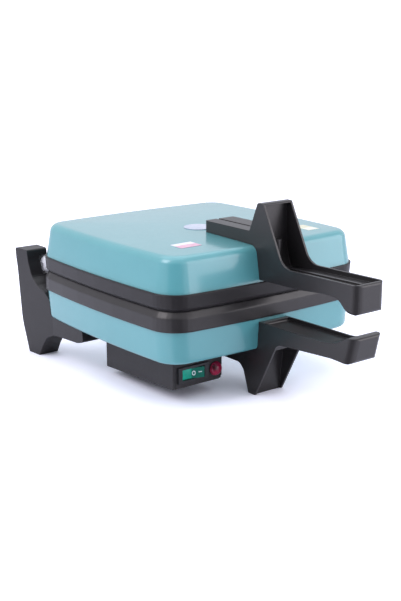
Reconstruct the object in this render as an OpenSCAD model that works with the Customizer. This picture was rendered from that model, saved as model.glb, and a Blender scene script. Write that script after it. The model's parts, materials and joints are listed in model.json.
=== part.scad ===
// Hinged ring-cake maker: two cast plates in painted covers, with moulded handles and rear brackets.
// Millimetres, +Z up. The origin is under the middle of the object, on the surface that it stands on.
// Shapes are drawn about the middle of the plates, and placed() moves them to the origin.

/* [Body] */
// Width of the plates at the middle of their sides
body_w = 230; // [224:1:234]
// Depth of the plates at the middle of their sides
body_d = 226; // [222:1:230]
// Plan radius of the body's corners
corner_r = 26; // [23:1:30]
// Angle that each half side turns through, which bows the sides outwards
bow_a = 4.3; // [2:0.1:5]

/* [Levels] */
// Height of the joint between the two halves
split_z = 90; // [89:0.5:91]
// Height of the lower plate's rim
lower_rim_h = 17.7; // [16:0.1:19]
// Height of the upper plate's rim
upper_rim_h = 14.6; // [13:0.1:16]
// Height of the lower cover
lower_cover_h = 29.4; // [27:0.1:30]
// Height of the upper cover at its edges
upper_cover_h = 30.8; // [28:0.1:32]

/* [Covers] */
// Thickness of the covers' sheet
cover_t = 1.5; // [1.2:0.1:2]
// How far the covers stand in from the plates' rims
cover_inset = 1.8; // [1.5:0.1:2.5]
// Lean of the upper cover's sides
upper_draft = 9.5; // [5:0.5:12]
// Lean of the lower cover's sides
lower_draft = 3.5; // [2:0.5:6]
// Edge radius of the upper cover
upper_edge_r = 8; // [6:0.5:12]
// Edge radius of the lower cover
lower_edge_r = 4.5; // [3:0.5:9]
// Rise of the upper cover's top towards its middle
crown = 1.6; // [0.5:0.1:2]

/* [Cooking plates] */
// Distance from the middle to each ring cavity's axis, along X and along Y
cell_at = 52; // [51:0.5:53]
// Radius of the middle circle of a ring
ring_r = 28; // [26:0.5:28.5]
// Radius of a ring's round section
ring_tube_r = 16; // [14:0.5:16]
// Thickness of the castings
cast_t = 3.5; // [3:0.1:4]

/* [Handles] */
// Width of both handles
handle_w = 33; // [30:0.5:36]
// Distance from the middle of the plates to the handles' ends
grip_end = 226; // [220:1:230]
// Wall thickness of the mouldings
wall = 2; // [1.8:0.1:2.5]

/* [Hinge] */
// Distance of the hinge axis behind the middle of the plates
hinge_y = 126; // [125.5:0.1:127]
// Height of the hinge axis
hinge_z = 88.2; // [88:0.1:89]
// Radius of the hinge pins
pin_r = 4; // [3.5:0.1:4]
// Radial clearance of the lid's lugs on the pins
pin_gap = 0.05; // [0.03:0.01:0.1]
// Radius of the hinge lugs
lug_r = 8; // [7.5:0.1:8]

/* [Control box] */
// Width of the control box
box_w = 54.4; // [52:0.2:56]
// Distance of the box's left side from the middle
box_left = 87.5; // [86:0.5:88]
// Distance of the box's front from the middle
box_front = 80.5; // [79:0.5:82]
// Depth of the control box
box_d = 104.5; // [100:0.5:106]
// Thickness of the box's sheet
box_t = 1.2; // [1:0.1:1.5]

/* [Hidden] */

$fn = 48;
eps = 0.01;
fit_gap = 0.15;           // between a moulding and the sheet that it lies on
teal = "#63a9ab";
black = "#3b3a3d";
bracket_rear = 149;       // rear face of the brackets, behind the middle of the plates
shift_y = (grip_end - bracket_rear) / 2;

// Levels
lower_rim_z = split_z - lower_rim_h;
upper_rim_z = split_z + upper_rim_h;
bottom_z = lower_rim_z - lower_cover_h;
top_z = upper_rim_z + upper_cover_h;
lower_face_z = split_z - 0.2;
upper_face_z = split_z + 0.2;
web_t = 5;                // thickness of the plates' flat web
corner_seg = 8;
side_seg = 6;
edge_seg = 6;

// Hinge positions along X
lug_in = 70;              // inner side of the base lugs
lug_t = 7.6;
lid_lug_in = lug_in + lug_t + 0.3;
spacer_in = lid_lug_in + lug_t + 0.3;
spacer_l = 5;
head_in = spacer_in + spacer_l;
head_r = 8;
head_h = 4.6;

// Rear brackets
bracket_in = 88.5;
bracket_arm = 106.6;      // outer side of the arm, at its front end
bracket_turn = 88;        // where its outer side turns outwards
bracket_out = 112;        // outer side at the rear
bracket_screw_x = 96;
bracket_screw_y = [50, 80];

// Control box
box_right = -box_left + box_w;
box_rear_z = 7.6;         // bottom of the box at its rear
box_front_z = 12.8;       // bottom of the box at its front
fold_x = -box_left + 2.2;   // seam in the front where the left side is folded round
box_cut = 2.3;            // half the side of the square that clips the front's lower right corner
switch_x = -66;
switch_z = 24.5;
bezel_w = 33;
bezel_h = 14.4;
rocker_w = 24.6;
rocker_h = 10;
rocker_y = 3.2;           // the rocker's pivot, behind the box's front
pivot_r = 0.9;
pivot_l = 0.6;            // how far its pivot stands out at each end
lens_x = -40.6;
lens_z = 23.5;
lens_r = 6.4;

// Heaters and what holds them
heater_r = 4;
heater_at = 56;           // half the side of the heater's loop
heater_bend = 30;
heater_drop = ring_tube_r + cast_t + 0.3 + heater_r;
clamp_at = 40;            // distance of the clamp screws from the middle
clamp_turns = [0, 90, 270];
end_bend = 8;             // centreline radius of the bends at the heater's ends
end_at = 7;               // distance of each end from the loop's middle line
boss_r = 5;

// Jumper lead between the halves, and where the covers' rear faces stand at its two glands
lead_x = -40;
lead_lower_z = 60;
lead_upper_z = 119;
lead_lower_y = 109.8;
lead_upper_y = 108.1;
lead_r = 3.4;
gland_l = 5.6;            // how far the glands stand out
lead_bulge = 28;          // distance of the curve's guide points behind its ends

// ---------- helpers ----------

module placed() translate([0, shift_y, 0]) children();
module both_sides() { children(); mirror([1, 0, 0]) children(); }
module lid_side() translate([0, 0, 2 * split_z]) mirror([0, 0, 1]) children();

// Plan outline of the body, stepped in by d. Corner arcs join sides that are shallow parabolas.
function centre(a, b) =
  let (t = tan(bow_a) / 2, k = corner_r * (cos(bow_a) + t * sin(bow_a)))
  ((a - k) - t * (b - k)) / (1 - t * t);
function side_at(c, r, u) = // distance out to a bowed side, at the fraction u of its half length
  let (t = tan(bow_a) / 2, e = c[1] + r * sin(bow_a))
  c[0] + r * cos(bow_a) + t * e * (1 - u * u);
function outline(d) =
  let (
    r = max(corner_r - d, 5), in = max(d - corner_r + 5, 0),
    cx = centre(body_w / 2, body_d / 2) - in, cy = centre(body_d / 2, body_w / 2) - in,
    ex = cx + r * sin(bow_a), ey = cy + r * sin(bow_a),
    quarter = function(sx, sy, a0)
      [for (i = [0:corner_seg]) let (a = a0 + bow_a + (90 - 2 * bow_a) * i / corner_seg)
        [sx * cx + r * cos(a), sy * cy + r * sin(a)]],
    us = [for (i = [1:side_seg - 1]) -1 + 2 * i / side_seg]
  )
  concat(
    [for (u = us) [side_at([cx, cy], r, u), u * ey]], quarter(1, 1, 0),
    [for (u = us) [-u * ex, side_at([cy, cx], r, u)]], quarter(-1, 1, 90),
    [for (u = us) [-side_at([cx, cy], r, u), -u * ey]], quarter(-1, -1, 180),
    [for (u = us) [u * ex, -side_at([cy, cx], r, u)]], quarter(1, -1, 270)
  );

// Solid through plan outlines, each given as [inset, height, scale]
module loft(levels) {
  n = len(outline(0));
  m = len(levels);
  points = [for (l = levels) for (p = outline(l[0])) [p[0] * l[2], p[1] * l[2], l[1]]];
  faces = concat(
    [[for (i = [0:n - 1]) i]],
    [for (k = [0:m - 2]) for (i = [0:n - 1])
      let (a = k * n + i, b = k * n + (i + 1) % n) each [[a, b + n, b], [a, a + n, b + n]]],
    [[for (i = [n - 1:-1:0]) (m - 1) * n + i]]
  );
  polyhedron(points, faces);
}

// Levels of a flat side that rises to its middle, and of a cover of height h. The cover is stepped in
// by w and starts d below its rim.
function rising(in, z, rise) = [for (s = [0.7, 0.4, 0.15]) [in, z + rise * (1 - s * s), s]];
function cover_levels(h, edge_r, draft, rise, w, d) =
  let (
    r = edge_r - w, zc = h - edge_r, z_side = zc + r * sin(draft),
    i0 = cover_inset + w, ic = i0 + tan(draft) * z_side + r * cos(draft)
  )
  concat(
    [[i0, -d, 1]],
    [for (k = [0:edge_seg]) let (a = draft + (90 - draft) * k / edge_seg)
      [ic - r * cos(a), zc + r * sin(a), 1]],
    rise > 0 ? rising(ic, zc + r, rise) : []
  );
module upper_cover_block(w, d) translate([0, 0, upper_rim_z])
  loft(cover_levels(upper_cover_h, upper_edge_r, upper_draft, crown, w, d));
module lower_cover_block(w, d) translate([0, 0, lower_rim_z]) mirror([0, 0, 1])
  loft(cover_levels(lower_cover_h, lower_edge_r, lower_draft, 0, w, d));

// Closed outline from corner points [x, y, radius], each rounded with its radius
function arc_pts(p, q, s) =
  let (
    a = [q[0] - p[0], q[1] - p[1]], b = [s[0] - q[0], s[1] - q[1]],
    ua = a / norm(a), ub = b / norm(b), turn = acos(max(-1, min(1, ua * ub))),
    left = sign(ua[0] * ub[1] - ua[1] * ub[0]), t = q[2] * tan(turn / 2),
    n = max(1, ceil(turn / 12)), start = [q[0], q[1]] - t * ua,
    mid = start + left * q[2] * [-ua[1], ua[0]], a0 = atan2(start[1] - mid[1], start[0] - mid[0])
  )
  q[2] <= 0 || turn < 0.5 ? [[q[0], q[1]]]
    : [for (i = [0:n]) let (g = a0 + left * turn * i / n) mid + q[2] * [cos(g), sin(g)]];
function rounded(pts) =
  let (n = len(pts))
  [for (i = [0:n - 1]) each arc_pts(pts[(i + n - 1) % n], pts[i], pts[(i + 1) % n])];

// Side profile given as [y, z, radius], extruded along X from x0 to x1
module profile(pts, x0, x1)
  translate([x0, 0, 0]) rotate([90, 0, 90]) linear_extrude(x1 - x0) polygon(rounded(pts));
module along_x(x0, x1, r, sides = $fn)
  translate([x0, 0, 0]) rotate([0, 90, 0]) cylinder(h = x1 - x0, r = r, $fn = sides);
module along_y(y0, y1, r) translate([0, y1, 0]) rotate([90, 0, 0]) cylinder(h = y1 - y0, r = r);
module along_z(z0, z1, r) translate([0, 0, z0]) cylinder(h = z1 - z0, r = r);
module slab(x0, x1, y0, y1, z0, z1) translate([x0, y0, z0]) cube([x1 - x0, y1 - y0, z1 - z0]);

// Pan-head screw along +Z, with its head's seat at z = 0 and its shank above
module screw(shank, r = 2, head_r = 3.8, head_h = 2.4) difference() {
  union() {
    along_z(-head_h, 0, head_r);
    along_z(-eps, shank, r);
  }
  slab(-0.5, 0.5, -head_r * 0.7, head_r * 0.7, -head_h - 1, -head_h + 1.1);
  slab(-head_r * 0.7, head_r * 0.7, -0.5, 0.5, -head_h - 1, -head_h + 1.1);
}
module nut(r, h, hole) difference() {
  cylinder(h = h, r = r, $fn = 6);
  translate([0, 0, -1]) cylinder(h = h + 2, r = hole);
}

// Round tube swept along a path with a flat ring at each point
function unit(v) = v / norm(v);
module tube(path, r, sides = 10) {
  n = len(path);
  dir = [for (i = [0:n - 1]) unit(path[min(i + 1, n - 1)] - path[max(i - 1, 0)])];
  points = [for (i = [0:n - 1]) let (s = unit(cross(dir[i], [1, 0.013, 0.017])), u = cross(dir[i], s))
    for (k = [0:sides - 1]) path[i] + r * (cos(360 * k / sides) * s + sin(360 * k / sides) * u)];
  faces = concat(
    [[for (k = [0:sides - 1]) k]],
    [for (i = [0:n - 2]) for (k = [0:sides - 1])
      let (a = i * sides + k, b = i * sides + (k + 1) % sides)
        each [[a, b + sides, b], [a, a + sides, b + sides]]],
    [[for (k = [sides - 1:-1:0]) (n - 1) * sides + k]]
  );
  polyhedron(points, faces);
}

// ---------- cooking plates ----------

cell_signs = [[-1, -1], [1, -1], [1, 1], [-1, 1]];
module cells(r) for (s = cell_signs) translate([s[0] * cell_at, s[1] * cell_at, split_z])
  rotate_extrude() translate([ring_r, 0]) circle(r = r);

// Underside of a plate: rim, web, ring shells and the bosses that the clamps screw to
module plate_back(rim_z, outer) {
  difference() {
    union() {
      difference() {
        loft(outer);
        loft([[4, rim_z - 1, 1], [4, lower_face_z - web_t, 1]]);
      }
      intersection() {
        cells(ring_tube_r + cast_t);
        slab(-110, 110, -110, 110, 50, lower_face_z);
      }
      for (a = clamp_turns) rotate(a) translate([clamp_at, 0, 0])
        along_z(split_z - heater_drop - heater_r, lower_face_z - web_t + 1, boss_r);
    }
    cells(ring_tube_r);
    for (a = clamp_turns) rotate(a) translate([clamp_at, 0, 0])
      along_z(split_z - heater_drop - heater_r - 1, split_z - 14, 1.6);
  }
}
module lug(x0, arm) difference() {
  union() {
    translate([0, hinge_y, hinge_z]) along_x(x0, x0 + lug_t, lug_r);
    profile(arm, x0, x0 + lug_t);
  }
  translate([0, hinge_y, hinge_z]) along_x(x0 - 1, x0 + lug_t + 1, pin_r + pin_gap);
}
cover_boss = [[84, 0], [0, 84], [0, -84]];

module lower_plate() color(black) placed() {
  difference() {
    union() {
      plate_back(lower_rim_z, [
        [0, lower_rim_z, 1], [0, lower_face_z - 5.6, 1], [3.4, lower_face_z, 1]
      ]);
      for (b = cover_boss) translate([b[0], b[1], 0])
        along_z(bottom_z + cover_t + 0.1, lower_face_z - web_t + 1, boss_r);
    }
    for (b = cover_boss) translate([b[0], b[1], 0]) along_z(bottom_z - 1, bottom_z + 24, 2);
  }
  both_sides() lug(lug_in, [
    [107.5, 74, 0], [124, 81.2, 2], [124, 96.2, 2], [114, 88.3, 2], [107.5, 88.3, 0]
  ]);
}

rear_lug_x = 60;          // screw lugs at the rear of the upper plate
cover_screw_z = 113;
band_draft = 0.9;         // how far the upper plate's rim leans in towards the joint
rear_screw_y = 108.5;     // where the rear screws' heads seat on the upper cover's leaning side
module at_rear_screws() both_sides() translate([rear_lug_x, rear_screw_y, cover_screw_z])
  rotate([90 + upper_draft, 0, 0]) children();
module upper_plate() color(black) placed() {
  lid_side() plate_back(split_z - upper_rim_h, [
    [0, split_z - upper_rim_h, 1], [band_draft, split_z - 2.6, 1], [band_draft + 0.5, split_z - 2, 1],
    [3.2, split_z - 1.6, 1], [3.2, lower_face_z, 1]
  ]);
  difference() {
    slab(-7, 7, -106.4, -100, split_z + 3, 122);
    translate([0, 0, 117]) along_y(-109, -99, 1.7);
  }
  difference() {
    both_sides() slab(rear_lug_x - 6, rear_lug_x + 6, 100, 105.6, split_z + 3, cover_screw_z + 3.4);
    at_rear_screws() along_z(-1, 14, 1.7);
  }
  both_sides() lug(lid_lug_in, [
    [107.5, 103.6, 0], [107.5, 93.4, 0], [113, 92, 2], [119.5, 86.5, 2], [128, 95.6, 2], [117, 103.6, 3]
  ]);
}

// ---------- heating ----------

// Square loop with round corners, open on its left side, with its ends bent away from the plate
module heater_loop() translate([0, 0, split_z - heater_drop]) {
  run = heater_at - heater_bend;
  for (s = cell_signs) translate([s[0] * run, s[1] * run, 0])
    rotate(s[0] > 0 ? (s[1] > 0 ? 0 : -90) : (s[1] > 0 ? 90 : 180))
      rotate_extrude(angle = 90) translate([heater_bend, 0]) circle(r = heater_r);
  for (s = [-1, 1]) translate([0, s * heater_at, 0]) along_x(-run, run, heater_r);
  translate([heater_at, 0, 0]) along_y(-run, run, heater_r);
  for (s = [0, 1]) mirror([0, s, 0]) translate([-heater_at, end_at, 0]) {
    along_y(end_bend, run - end_at, heater_r);
    translate([0, end_bend, -end_bend]) rotate([0, 90, 0]) rotate(180)
      rotate_extrude(angle = 90) translate([end_bend, 0]) circle(r = heater_r);
    along_z(-16, -end_bend, heater_r);
  }
}
module bushes() for (s = [-1, 1]) translate([-heater_at, s * end_at, split_z - heater_drop]) {
  along_z(-18.6, -16, heater_r + 0.8);
  slab(-0.4, 0.4, -1.6, 1.6, -19.6, -18.5);
}
clamp_z = split_z - heater_drop - heater_r;
module clamps() for (a = clamp_turns) rotate(a) difference() {
  slab(clamp_at - 6, heater_at + 6, -5, 5, clamp_z - 1.6, clamp_z - 0.1);
  translate([clamp_at, 0, 0]) along_z(clamp_z - 3, clamp_z + 1, 1.8);
}
module clamp_screws() for (a = clamp_turns) rotate(a)
  translate([clamp_at, 0, clamp_z - 1.7]) screw(10, 1.5, 3, 1.6);

module lower_heater() color("dimgray") placed() heater_loop();
module upper_heater() color("dimgray") placed() lid_side() heater_loop();
module lower_heater_bushes() color("ivory") placed() bushes();
module upper_heater_bushes() color("ivory") placed() lid_side() bushes();
module lower_heater_clamps() color("silver") placed() clamps();
module upper_heater_clamps() color("silver") placed() lid_side() clamps();
module lower_clamp_screws() color("silver") placed() clamp_screws();
module upper_clamp_screws() color("silver") placed() lid_side() clamp_screws();

web_z = lower_face_z - web_t;
module thermostat() color("dimgray") placed() {
  along_z(web_z - 2, web_z - 0.1, 11);
  along_z(web_z - 10, web_z - 1.9, 8);
  for (s = [-1, 1]) slab(s * 4 - 0.4, s * 4 + 0.4, -3, 3, web_z - 16, web_z - 9.9);
}
module thermal_fuse() color("silver") placed() translate([0, 17, web_z - 2.6]) {
  along_x(-7, 7, 2.3);
  along_x(-14, 14, 0.6);
}

// ---------- covers ----------

bracket_holes = [for (y = bracket_screw_y) for (s = [-1, 1]) [s * bracket_screw_x, y]];
handle_screw_y = [-84, -48];

module lower_cover() color(teal) placed() difference() {
  lower_cover_block(0, 0);
  lower_cover_block(cover_t, 1);
  for (h = concat(bracket_holes, [for (y = handle_screw_y) [0, y]], cover_boss))
    translate([h[0], h[1], 0]) along_z(bottom_z - 3, bottom_z + 3, 2.2);
  slab(-80, -44, -52, 8, bottom_z - 3, bottom_z + 3);
  translate([lead_x, 0, lead_lower_z]) along_y(100, 115, 5);
}
module upper_cover() color(teal) placed() difference() {
  upper_cover_block(0, 0);
  upper_cover_block(cover_t, 1);
  translate([0, -48, 0]) along_z(top_z - 4, top_z + 4, 2.2);
  translate([0, 0, 117]) along_y(-114, -100, 2.2);
  at_rear_screws() along_z(-3, 6, 2.2);
  translate([lead_x, 0, lead_upper_z]) along_y(100, 115, 5);
}
module lower_cover_screws() color("silver") placed()
  for (i = [0, 1]) translate([cover_boss[i][0], cover_boss[i][1], bottom_z - 0.1]) screw(16, 1.9);
module upper_cover_screws() color("silver") placed() at_rear_screws() screw(10, 1.6, 3.4, 2);

// Flat goods that lie on the lid's top, cut from a thin skin over it
top_in = 14;              // inset at which the lid's top starts to rise
module top_block(gap) loft(concat(
  [[top_in, top_z - 3, 1], [top_in, top_z + gap, 1]], rising(top_in, top_z + gap, crown)
));
module on_top(t) intersection() {
  children();
  difference() {
    top_block(0.05 + t);
    top_block(0.05);
  }
}
module centre_disc() color("thistle") placed() on_top(0.4) translate([-8, -14, 0]) along_z(130, 140, 13.5);
module front_sticker() color("mistyrose") placed() on_top(0.15) slab(-74.5, -52.5, -76.5, -60.5, 130, 140);
module corner_sticker() color("khaki") placed() on_top(0.15) slab(66, 80, -84, -62, 130, 140);

// ---------- handles ----------

arm_top = 147.5;
fin_top = 173;
fin_wall = 1.6;           // thickness over the top of the fin's channel
upper_grip_z = 98.6;      // underside of the upper grip's end
lower_grip_z = [57.2, 79.6];
lower_grip_back = 5;      // how far the lower grip's end leans back from its top to its underside
grip_ease = 0.05;         // the leaning plan stands this far outside the grip's end
// The grip's plan: square sides with rounded end corners
module grip_plan(rear) translate([0, 0, -110]) linear_extrude(300) polygon(rounded([
  [-handle_w / 2, -grip_end, 7.5], [handle_w / 2, -grip_end, 7],
  [handle_w / 2, rear, 2], [-handle_w / 2, rear, 2]
]));

module upper_handle() color(black) placed() difference() {
  intersection() {
    grip_plan(-35.3);
    rotate([90, 0, 0]) linear_extrude(grip_end + 1) polygon(rounded([
      [-handle_w / 2, upper_grip_z, 3.5], [handle_w / 2, upper_grip_z, 3.5],
      [handle_w / 2, fin_top + 1, 0], [-handle_w / 2, fin_top + 1, 0]
    ]));
    profile([
      [-30, 130, 0], [-30, arm_top, 0], [-97, arm_top, 1.5], [-107.2, fin_top, 2], [-114.3, fin_top, 2],
      [-140.1, 121.6, 16.5], [-grip_end, 123.2, 2], [-grip_end, upper_grip_z, 4], [-217, upper_grip_z, 12],
      [-205.5, 109.4, 12], [-190, 110.2, 30], [-160, 107.4, 30], [-112.6, 106.6, 1], [-105, 107, 0]
    ], -handle_w / 2, handle_w / 2);
  }
  upper_cover_block(-fit_gap, -fit_gap);
  difference() {
    profile([
      [-109.4, fin_top - fin_wall, 1.5], [-110.8, 136, 8], [-113.5, 124, 8], [-117.5, 114.6, 3],
      [-150, 117.4, 30], [-grip_end + 3.4, 119.6, 2], [-grip_end + 3.4, 180, 0], [-119, 180, 0],
      [-117, fin_top - fin_wall, 0]
    ], -handle_w / 2 + wall, handle_w / 2 - wall);
    translate([0, -113.5, 0]) along_z(110, 141, 5);
    profile([[-119, 110, 0], [-124, 118.4, 2], [-150, 119, 30], [-215, 121, 0], [-215, 110, 0]], -1.2, 1.2);
  }
  slab(-3.2, -0.6, -96, -30, arm_top - 1.4, arm_top + 1);
  translate([0, 0, 117]) along_y(-125, -100, 2.2);
  translate([0, 0, 117]) along_y(-125, -116, 4.3);
  translate([0, -48, 0]) along_z(130, 144, 1.7);
}
module upper_handle_screws() color("silver") placed() {
  translate([0, -116.1, 117]) rotate([-90, 0, 0]) screw(14, 1.6, 3.9, 2.4);
  translate([0, -48, top_z - cover_t - 0.3]) screw(10, 1.6, 4.5, 2.2);
}

module lower_handle() color(black) placed() difference() {
  intersection() {
    grip_plan(-40);
    translate([0, -grip_end - grip_ease, lower_grip_z[1]])
      rotate([atan(lower_grip_back / (lower_grip_z[1] - lower_grip_z[0])), 0, 0])
        translate([0, grip_end, -lower_grip_z[1]]) grip_plan(0);
    profile([
      [-40, bottom_z + 4, 0], [-40, 29, 3], [-62, 25.6, 8], [-85.5, 25.6, 8], [-91, 20, 6],
      [-98, 0, 1], [-107, 0, 1], [-133.6, 51.2, 6], [-137.5, 54, 8], [-200, 58.2, 40],
      [-grip_end + lower_grip_back, lower_grip_z[0], 5],
      [-grip_end, lower_grip_z[1], 2], [-221, lower_grip_z[1], 3], [-217, 79.4, 6], [-205, 72, 14], [-192, 69.6, 20],
      [-111.3, 68.9, 1], [-100, 60, 0]
    ], -handle_w / 2, handle_w / 2);
  }
  lower_cover_block(-fit_gap, -fit_gap);
  profile([
    [-104.6, -5, 0], [-110, 47.6, 4], [-134.5, 47.6, 0], [-150, 30, 0], [-120, -5, 0]
  ], -handle_w / 2 + wall, handle_w / 2 - wall);
  profile([
    [-116, 75, 0], [-116, 66, 1.5], [-193, 66.9, 20], [-210, 77, 0], [-212, 85, 0], [-116, 85, 0]
  ], -handle_w / 2 + wall, handle_w / 2 - wall);
  for (y = handle_screw_y) translate([0, y, 0]) {
    along_z(20, 50, 2.2);
    along_z(20, 33, 4.5);
  }
}
module lower_handle_screws() color("silver") placed() {
  translate([0, handle_screw_y[0], 32.9]) screw(28, 1.9);
  translate([0, handle_screw_y[1], 32.9]) screw(17, 1.9);
  translate([0, handle_screw_y[1], bottom_z + cover_t + 0.1]) nut(4, 3.2, 1.95);
}

// ---------- rear brackets ----------

bracket_profile = [
  [bracket_rear, 98, 40], [bracket_rear, 104.2, 2], [129, 104.2, 2], [127.2, 93, 20], [121.5, 79, 14],
  [112, 71, 8], [100, 66.5, 8], [88, 57, 2], [84, 48, 0], [36, 46, 0], [34.5, 31.5, 3], [44, 28.7, 6],
  [86, 26.5, 10], [99, 21, 6], [107, 11, 8], [113.5, 0, 1], [131, 0, 1.5], [141.5, 31, 60],
  [146.4, 83.5, 60]
];
// Plan of a bracket: its outer side turns outwards behind the body
module bracket_plan() translate([0, 0, -10]) linear_extrude(200) polygon([
  [bracket_in, 30], [bracket_arm, 30], [bracket_arm + 1, bracket_turn], [bracket_out, bracket_rear],
  [bracket_out, 160], [bracket_in, 160]
]);
module bracket() difference() {
  intersection() {
    bracket_plan();
    union() {
      profile(bracket_profile, bracket_in, bracket_out);
      profile([[36, bottom_z + 6, 0], [36, 40, 0], [90, 36, 0], [90, 62, 0]], bracket_in, bracket_out);
    }
  }
  lower_cover_block(-fit_gap, -fit_gap);
  slab(80, 115, 0, 112.4, lower_rim_z - 0.1, 120);
  for (x = [[92, 97.5], [101, 107.5]])
    profile([[133.5, 98, 1], [155, 98, 0], [155, 36, 0], [133, 36, 1], [127, 62, 6]], x[0], x[1]);
  translate([0, hinge_y, hinge_z]) along_x(bracket_in - 1, head_in + head_h + 1.6, head_r + 1.2);
  for (y = bracket_screw_y) translate([bracket_screw_x, y, 0]) {
    along_z(20, 50, 2.2);
    along_z(20, 36, 4.5);
  }
}
module right_rear_bracket() color(black) placed() bracket();
module left_rear_bracket() color(black) placed() mirror([1, 0, 0]) bracket();
module bracket_screws() color("silver") placed()
  for (h = bracket_holes) translate([h[0], h[1], 35.9]) screw(14, 1.9);
module bracket_nuts() color("silver") placed()
  for (h = bracket_holes) translate([h[0], h[1], bottom_z + cover_t + 0.1]) nut(3.8, 3.2, 1.95);

// ---------- hinge ----------

module hinge_pins() color("gainsboro") placed() both_sides() translate([0, hinge_y, hinge_z]) {
  difference() {
    union() {
      along_x(lug_in - 8, head_in + 0.5, pin_r);
      translate([head_in, 0, 0]) rotate([0, 90, 0]) rotate_extrude() intersection() {
        translate([0, -head_r * 0.62]) circle(r = head_r * 1.25);
        square([head_r, head_h]);
      }
    }
    along_x(head_in + 1.4, head_in + head_h + 2, 2.3, 6);
  }
}
module hinge_spacers() color("silver") placed() both_sides() translate([0, hinge_y, hinge_z])
  difference() {
    along_x(spacer_in, head_in - 0.1, 6);
    along_x(spacer_in - 1, head_in + 1, pin_r + 0.02);
  }
module hinge_nuts() color("silver") placed() both_sides()
  translate([lug_in - 5.6, hinge_y, hinge_z]) rotate([0, 90, 0]) nut(7.4, 5.4, pin_r + 0.02);

// ---------- control box ----------

box_rear = -box_front + box_d;
gland_x = -70;
gland_z = 25;
module box_side(d, z_up) profile([
  [-box_front + d, z_up, 0], [-box_front + d, box_front_z, 0], [box_rear - d, box_rear_z, 0],
  [box_rear - d, z_up, 0]
], -box_left + d, box_right - d);

box_screws_at = [for (x = [-box_left + 6, box_right - 6]) for (y = [-box_front + 7, box_rear - 7]) [x, y]];
module control_box() color(black) placed() difference() {
  union() {
    difference() {
      box_side(0, bottom_z + 2);
      translate([0, 0, -8]) box_side(box_t, bottom_z + 20);
      translate([0, 0, -20]) box_side(box_t, bottom_z - 10);
    }
    for (p = box_screws_at) translate([p[0], p[1], p[1] < 0 ? box_front_z : box_rear_z])
      slab(-5, 5, -6, 6, 2.2, 4);
  }
  lower_cover_block(-fit_gap, -fit_gap);
  slab(switch_x - 14.5, switch_x + 14.5, -box_front - 2, -box_front + 3, switch_z - 6.4, switch_z + 6.4);
  translate([lens_x, 0, lens_z]) along_y(-box_front - 2, -box_front + 3, 4.6);
  translate([gland_x, 0, gland_z]) along_y(box_rear - 3, box_rear + 3, 6.2);
  for (p = box_screws_at) translate([p[0], p[1], 0]) along_z(5, 20, 1.5);
  slab(fold_x, fold_x + 0.5, -box_front - 1, -box_front + 0.4, 0, bottom_z);
  translate([box_right, -box_front, box_front_z]) rotate([0, 45, 0])
    slab(-box_cut, box_cut, -1, box_t + 0.1, -box_cut, box_cut);
}
module box_base_plate() color(black) placed() difference() {
  profile([
    [-box_front + 1.4, box_front_z + 1.3, 0], [-box_front + 1.4, box_front_z + 0.1, 0],
    [box_rear - 1.4, box_rear_z + 0.1, 0], [box_rear - 1.4, box_rear_z + 1.3, 0]
  ], -box_left + 1.4, box_right - 1.4);
  for (p = box_screws_at) translate([p[0], p[1], 0]) along_z(5, 20, 1.7);
}
module box_screws() color("silver") placed() for (p = box_screws_at)
  translate([p[0], p[1], p[1] < 0 ? box_front_z - 0.45 : box_rear_z + 0.25]) screw(5, 1.4, 2.8, 1.4);

module switch_housing() color("#222224") placed() translate([switch_x, -box_front, switch_z])
  difference() {
    union() {
      slab(-bezel_w / 2, bezel_w / 2, -2.2, -0.1, -bezel_h / 2, bezel_h / 2);
      slab(-14.3, 14.3, -0.2, 19, -6.2, 6.2);
      for (x = [-9, 0, 9]) slab(x - 0.4, x + 0.4, 18.9, 27, -2.4, 2.4);
    }
    slab(-rocker_w / 2, rocker_w / 2, -3, 9, -rocker_h / 2, rocker_h / 2);
    translate([0, rocker_y, 0]) along_z(-rocker_h / 2 - pivot_l, rocker_h / 2 + pivot_l, pivot_r + 0.1);
  }
rocker_tilt = -11;        // tilt of the rocker at rest, with its left end pressed in
rocker_vee = -2.2;        // where its two faces meet
// Rocker in plan: a shallow vee of two faces about a pivot pin that stands along Z
module switch_rocker() color("#0f9f80") placed() translate([switch_x, -box_front + rocker_y, switch_z])
  rotate(rocker_tilt) {
    half = rocker_w / 2 - 0.9;
    along_z(-rocker_h / 2 - pivot_l + 0.2, rocker_h / 2 + pivot_l - 0.2, pivot_r);
    translate([0, 0, -rocker_h / 2 + 0.25]) linear_extrude(rocker_h - 0.5) polygon([
      [-half, -5.2], [-half + 0.6, -5.6], [rocker_vee, -4.3], [half - 0.6, -5.6], [half, -5.2],
      [half - 1, 0], [3, 2.6], [-3, 2.6], [-half + 1, 0]
    ]);
  }
module indicator_lens() color("#b3122c") placed() translate([lens_x, -box_front, lens_z])
  rotate([90, 0, 0]) rotate_extrude() polygon(concat(
    [[0, -1.1], [3.6, -1.1], [3.6, 0.1], [lens_r, 0.1], [lens_r, 1.6]],
    [for (a = [20:10:90]) [(lens_r - 0.6) * cos(a), 1.0 + 4.2 * sin(a)]]
  ));
module indicator_body() color("ivory") placed() translate([lens_x, -box_front, lens_z]) {
  along_y(1.2, 22, 4.4);
  for (x = [-2, 2]) slab(x - 0.4, x + 0.4, 21.9, 27, -1.4, 1.4);
}
module indicator_nut() color("silver") placed() translate([lens_x, -box_front + box_t + 0.1, lens_z])
  rotate([-90, 0, 0]) nut(6, 2.4, 4.5);
module terminal_block() color("ivory") placed() difference() {
  slab(-78, -50, -24, -8, 11.4, 30);
  for (x = [-73, -64, -55]) {
    translate([x, 0, 24]) along_y(-25, -7, 1.8);
    translate([x, -20, 0]) along_z(24, 31, 1.6);
    translate([x, -12, 0]) along_z(24, 31, 1.6);
  }
}
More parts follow.
